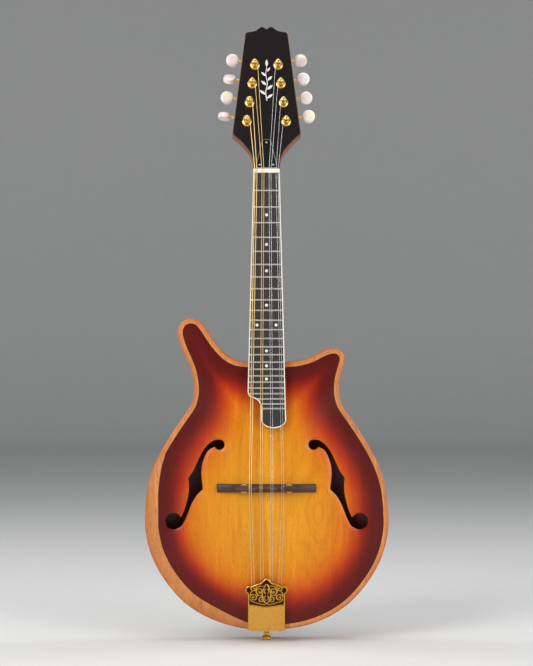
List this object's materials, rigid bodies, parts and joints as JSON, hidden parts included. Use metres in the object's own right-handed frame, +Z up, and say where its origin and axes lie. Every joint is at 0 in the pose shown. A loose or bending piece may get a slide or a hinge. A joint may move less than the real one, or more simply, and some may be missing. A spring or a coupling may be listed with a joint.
{
  "type": "mandolin",
  "caption": "Arch-top mandolin with paired strings, f-holes, a long bass horn and a treble cutaway, adjustable bridge, geared tuners and a sliding tailpiece cover.",
  "frame": {"origin": "middle of the flat end face of the strap button, at the tail end of the body", "axes": "+Z runs up the neck from the tail, -Y is the front where the strings are, +X is the treble side (right, seen from the front)"},
  "size_m": [0.2746, 0.0953, 0.699],
  "materials": {
    "rim_mahogany": "satin clear lacquer over bare orange-brown wood",
    "top_sunburst": "satin sunburst from amber in the middle to near black at the edge",
    "back_mahogany": "satin reddish-brown stain",
    "inner_wood": "bare, unfinished",
    "neck_mahogany": "satin",
    "ebony_overlay": "gloss, near black",
    "fingerboard_rosewood": "oiled, dark",
    "bridge_rosewood": "oiled, dark purple-brown",
    "ivory_binding": "cream-white binding strip",
    "bone_nut": "polished bone",
    "pearloid": "polished white pearl plastic",
    "black_plastic": "black with a thin pale edge line",
    "gold_plate": "polished gold plate",
    "steel_hardware": "plain steel",
    "wound_bronze": "bronze wire wound on a steel core",
    "plain_steel": "plain drawn steel wire"
  },
  "bodies": {
    "root": {"body_rim": "rim_mahogany", "top_plate": "top_sunburst", "back_plate": "back_mahogany", "neck_block": "inner_wood", "tail_block": "inner_wood", "bass_tone_bar": "inner_wood", "treble_tone_bar": "inner_wood", "strap_button": "gold_plate", "neck": "neck_mahogany", "truss_rod": "steel_hardware", "fingerboard": "fingerboard_rosewood", "fingerboard_binding": "ivory_binding", "nut": "bone_nut", "headstock_overlay": "ebony_overlay", "truss_rod_cover": "black_plastic", "bridge_base": "bridge_rosewood", "bass_bridge_stud": "gold_plate", "treble_bridge_stud": "gold_plate", "tailpiece_base": "gold_plate", "bass_tailpiece_screw": "gold_plate", "treble_tailpiece_screw": "gold_plate", "bass_tuner_plate": "gold_plate", "treble_tuner_plate": "gold_plate", "g_string_1": "wound_bronze", "g_string_2": "wound_bronze", "d_string_1": "wound_bronze", "d_string_2": "wound_bronze", "a_string_1": "plain_steel", "a_string_2": "plain_steel", "e_string_1": "plain_steel", "e_string_2": "plain_steel"},
    "key_bass_1": {"tuner_button_bass_1": "pearloid", "worm_shaft_bass_1": "gold_plate"},
    "post_bass_1": {"string_post_bass_1": "gold_plate"},
    "key_bass_2": {"tuner_button_bass_2": "pearloid", "worm_shaft_bass_2": "gold_plate"},
    "post_bass_2": {"string_post_bass_2": "gold_plate"},
    "key_bass_3": {"tuner_button_bass_3": "pearloid", "worm_shaft_bass_3": "gold_plate"},
    "post_bass_3": {"string_post_bass_3": "gold_plate"},
    "key_bass_4": {"tuner_button_bass_4": "pearloid", "worm_shaft_bass_4": "gold_plate"},
    "post_bass_4": {"string_post_bass_4": "gold_plate"},
    "key_treble_1": {"tuner_button_treble_1": "pearloid", "worm_shaft_treble_1": "gold_plate"},
    "post_treble_1": {"string_post_treble_1": "gold_plate"},
    "key_treble_2": {"tuner_button_treble_2": "pearloid", "worm_shaft_treble_2": "gold_plate"},
    "post_treble_2": {"string_post_treble_2": "gold_plate"},
    "key_treble_3": {"tuner_button_treble_3": "pearloid", "worm_shaft_treble_3": "gold_plate"},
    "post_treble_3": {"string_post_treble_3": "gold_plate"},
    "key_treble_4": {"tuner_button_treble_4": "pearloid", "worm_shaft_treble_4": "gold_plate"},
    "post_treble_4": {"string_post_treble_4": "gold_plate"},
    "bridge_saddle": {"bridge_saddle": "bridge_rosewood"},
    "bass_thumbwheel": {"bass_thumbwheel": "gold_plate"},
    "treble_thumbwheel": {"treble_thumbwheel": "gold_plate"},
    "tailpiece_cover": {"tailpiece_cover": "gold_plate"},
    "truss_rod_nut": {"truss_rod_nut": "steel_hardware"}
  },
  "joints": [
    {"name": "key_bass_1_turn", "type": "hinge", "parent": "root", "child": "key_bass_1", "pos_m": [-0.02092, 0.02287, 0.59119], "axis": [-0.9917, 0.0333, 0.1244], "continuous": true},
    {"name": "post_bass_1_turn", "type": "hinge", "parent": "root", "child": "post_bass_1", "pos_m": [-0.0222, 0.00178, 0.58668], "axis": [0, -0.9659, 0.2588], "continuous": true},
    {"name": "key_bass_2_turn", "type": "hinge", "parent": "root", "child": "key_bass_2", "pos_m": [-0.01795, 0.0288, 0.61332], "axis": [-0.9917, 0.0333, 0.1244], "continuous": true},
    {"name": "post_bass_2_turn", "type": "hinge", "parent": "root", "child": "post_bass_2", "pos_m": [-0.01922, 0.00771, 0.60881], "axis": [0, -0.9659, 0.2588], "continuous": true},
    {"name": "key_bass_3_turn", "type": "hinge", "parent": "root", "child": "key_bass_3", "pos_m": [-0.01498, 0.03473, 0.63545], "axis": [-0.9917, 0.0333, 0.1244], "continuous": true},
    {"name": "post_bass_3_turn", "type": "hinge", "parent": "root", "child": "post_bass_3", "pos_m": [-0.01625, 0.01364, 0.63093], "axis": [0, -0.9659, 0.2588], "continuous": true},
    {"name": "key_bass_4_turn", "type": "hinge", "parent": "root", "child": "key_bass_4", "pos_m": [-0.012, 0.04066, 0.65758], "axis": [-0.9917, 0.0333, 0.1244], "continuous": true},
    {"name": "post_bass_4_turn", "type": "hinge", "parent": "root", "child": "post_bass_4", "pos_m": [-0.01327, 0.01957, 0.65306], "axis": [0, -0.9659, 0.2588], "continuous": true},
    {"name": "key_treble_1_turn", "type": "hinge", "parent": "root", "child": "key_treble_1", "pos_m": [0.02092, 0.02287, 0.59119], "axis": [0.9917, 0.0333, 0.1244], "continuous": true},
    {"name": "post_treble_1_turn", "type": "hinge", "parent": "root", "child": "post_treble_1", "pos_m": [0.0222, 0.00178, 0.58668], "axis": [0, -0.9659, 0.2588], "continuous": true},
    {"name": "key_treble_2_turn", "type": "hinge", "parent": "root", "child": "key_treble_2", "pos_m": [0.01795, 0.0288, 0.61332], "axis": [0.9917, 0.0333, 0.1244], "continuous": true},
    {"name": "post_treble_2_turn", "type": "hinge", "parent": "root", "child": "post_treble_2", "pos_m": [0.01922, 0.00771, 0.60881], "axis": [0, -0.9659, 0.2588], "continuous": true},
    {"name": "key_treble_3_turn", "type": "hinge", "parent": "root", "child": "key_treble_3", "pos_m": [0.01498, 0.03473, 0.63545], "axis": [0.9917, 0.0333, 0.1244], "continuous": true},
    {"name": "post_treble_3_turn", "type": "hinge", "parent": "root", "child": "post_treble_3", "pos_m": [0.01625, 0.01364, 0.63093], "axis": [0, -0.9659, 0.2588], "continuous": true},
    {"name": "key_treble_4_turn", "type": "hinge", "parent": "root", "child": "key_treble_4", "pos_m": [0.012, 0.04066, 0.65758], "axis": [0.9917, 0.0333, 0.1244], "continuous": true},
    {"name": "post_treble_4_turn", "type": "hinge", "parent": "root", "child": "post_treble_4", "pos_m": [0.01327, 0.01957, 0.65306], "axis": [0, -0.9659, 0.2588], "continuous": true},
    {"name": "saddle_height", "type": "slide", "parent": "root", "child": "bridge_saddle", "axis": [0, -1, 0], "range_m": [-0.0012, 0]},
    {"name": "bass_thumbwheel_turn", "type": "hinge", "parent": "bridge_saddle", "child": "bass_thumbwheel", "pos_m": [-0.025, -0.04, 0.17335], "axis": [0, -1, 0], "range_deg": [-700, 0]},
    {"name": "treble_thumbwheel_turn", "type": "hinge", "parent": "bridge_saddle", "child": "treble_thumbwheel", "pos_m": [0.025, -0.04, 0.17335], "axis": [0, -1, 0], "range_deg": [-700, 0]},
    {"name": "tailpiece_cover_slide", "type": "slide", "parent": "root", "child": "tailpiece_cover", "axis": [0, -0.1132, 0.9936], "range_m": [0, 0.014]},
    {"name": "truss_rod_nut_turn", "type": "hinge", "parent": "root", "child": "truss_rod_nut", "pos_m": [0, -0.00659, 0.53763], "axis": [0, 0.0785, 0.9969], "range_deg": [-180, 180]}
  ],
  "couplings": [
    {"joint": "post_bass_1_turn", "follows": "key_bass_1_turn", "ratio": -0.0625},
    {"joint": "post_bass_2_turn", "follows": "key_bass_2_turn", "ratio": -0.0625},
    {"joint": "post_bass_3_turn", "follows": "key_bass_3_turn", "ratio": -0.0625},
    {"joint": "post_bass_4_turn", "follows": "key_bass_4_turn", "ratio": -0.0625},
    {"joint": "post_treble_1_turn", "follows": "key_treble_1_turn", "ratio": 0.0625},
    {"joint": "post_treble_2_turn", "follows": "key_treble_2_turn", "ratio": 0.0625},
    {"joint": "post_treble_3_turn", "follows": "key_treble_3_turn", "ratio": 0.0625},
    {"joint": "post_treble_4_turn", "follows": "key_treble_4_turn", "ratio": 0.0625},
    {"joint": "bass_thumbwheel_turn", "follows": "saddle_height", "rad_per_m": 8976},
    {"joint": "treble_thumbwheel_turn", "follows": "saddle_height", "rad_per_m": 8976}
  ]
}
